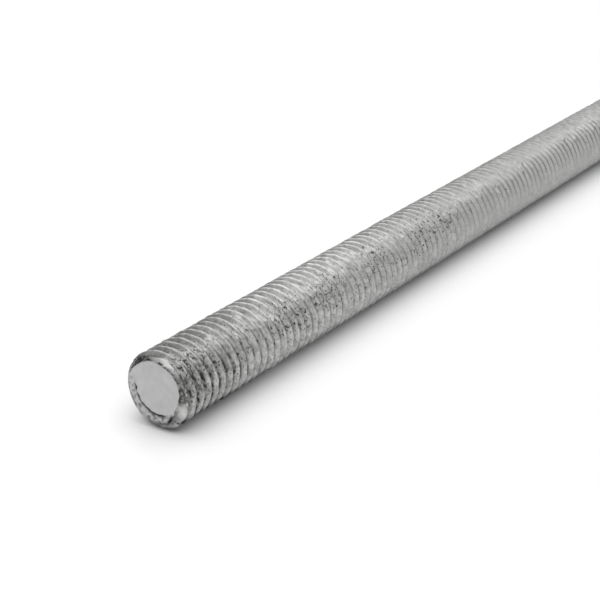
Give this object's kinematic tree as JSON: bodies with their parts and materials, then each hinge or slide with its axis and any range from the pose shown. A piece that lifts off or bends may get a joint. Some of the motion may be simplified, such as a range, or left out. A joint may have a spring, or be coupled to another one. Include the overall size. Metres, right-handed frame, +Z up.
{
  "type": "threaded rod",
  "caption": "Straight hot-dip galvanised steel rod, threaded right-handed from end to end, with chamfered flat ends.",
  "frame": {"origin": "centre of the near end face, the one that the picture shows", "axes": "+X along the rod's axis from the near end to the far end, +Z up, rod lying level"},
  "size_m": [0.2, 0.012, 0.012],
  "materials": {
    "zinc": "dull grey hot-dip galvanised zinc, lumpy on the thread, with dark specks in the grooves"
  },
  "bodies": {
    "root": {"threaded_rod": "zinc"}
  },
  "joints": []
}
